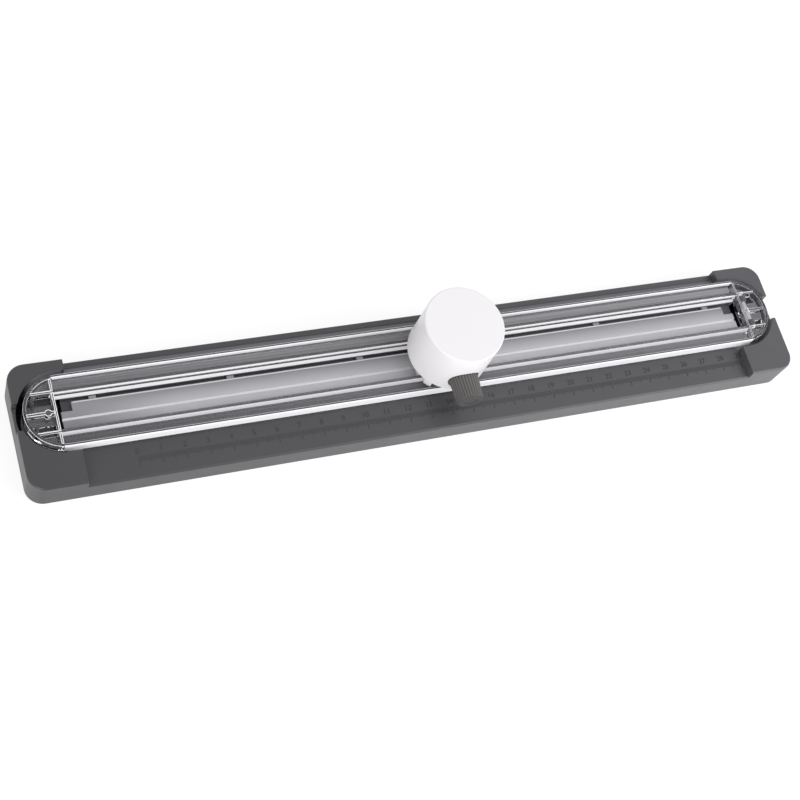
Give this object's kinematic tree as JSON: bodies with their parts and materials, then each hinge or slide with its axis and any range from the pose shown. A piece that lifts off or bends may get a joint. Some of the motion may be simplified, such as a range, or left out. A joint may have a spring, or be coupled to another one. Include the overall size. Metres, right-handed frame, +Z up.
{
  "type": "paper trimmer",
  "caption": "Slim desk paper trimmer: grey base with ruler edge and pale cutting mat, hinged clear rail, and a white round press-down head with a rolling blade that slides along the rail.",
  "frame": {"origin": "centre of the footprint, on the surface that the feet stand on", "axes": "+X along the rail towards its hinged end, -Y towards the ruler's front edge, +Z up"},
  "size_m": [0.3612, 0.0556, 0.046],
  "materials": {
    "base_plastic": "fine moulded texture",
    "mat_plastic": "smooth soft plastic",
    "foot_rubber": "matt",
    "pin_steel": "ground",
    "clear_plastic": "clear moulded plastic",
    "runner_plastic": "smooth low-friction plastic",
    "screw_steel": "zinc plated",
    "spring_steel": "spring wire",
    "white_plastic": "satin white moulding",
    "dark_plastic": "moulded",
    "hub_plastic": "moulded",
    "knob_plastic": "ribbed moulding",
    "blade_steel": "polished with a ground bevel"
  },
  "bodies": {
    "base": {"base_housing": "base_plastic", "cutting_mat": "mat_plastic", "rubber_feet": "foot_rubber", "hinge_pin": "pin_steel"},
    "rail": {"clear_rail": "clear_plastic"},
    "carriage": {"carriage_runner": "runner_plastic", "front_keeper": "runner_plastic", "back_keeper": "runner_plastic", "keeper_screws": "screw_steel", "press_spring_left": "spring_steel", "press_spring_right": "spring_steel"},
    "head": {"knob_cap": "white_plastic", "cap_screws": "screw_steel", "front_cheek": "dark_plastic", "back_cheek": "dark_plastic", "cheek_screws": "screw_steel", "blade_axle": "pin_steel"},
    "blade": {"rotary_blade": "blade_steel", "blade_hub": "hub_plastic", "hub_cap": "hub_plastic"},
    "knob": {"release_knob": "knob_plastic"}
  },
  "joints": [
    {"name": "rail_lift", "type": "hinge", "parent": "base", "child": "rail", "pos_m": [0.167, 0.0047, 0.01485], "axis": [0, 1, 0], "range_deg": [0, 45]},
    {"name": "carriage_slide", "type": "slide", "parent": "rail", "child": "carriage", "axis": [1, 0, 0], "range_m": [-0.1565, 0.1407]},
    {"name": "head_press", "type": "slide", "parent": "carriage", "child": "head", "axis": [0, 0, -1], "range_m": [0, 0.002], "stiffness_N_per_m": 1500, "springref_m": -0.002, "deforming": ["press_spring_left", "press_spring_right"]},
    {"name": "blade_spin", "type": "hinge", "parent": "head", "child": "blade", "pos_m": [0.0079, 0.0025, 0.0275], "axis": [0, 1, 0], "continuous": true},
    {"name": "knob_turn", "type": "hinge", "parent": "head", "child": "knob", "pos_m": [0.0079, 0.0025, 0.0275], "axis": [0, 1, 0], "range_deg": [0, 90]}
  ]
}
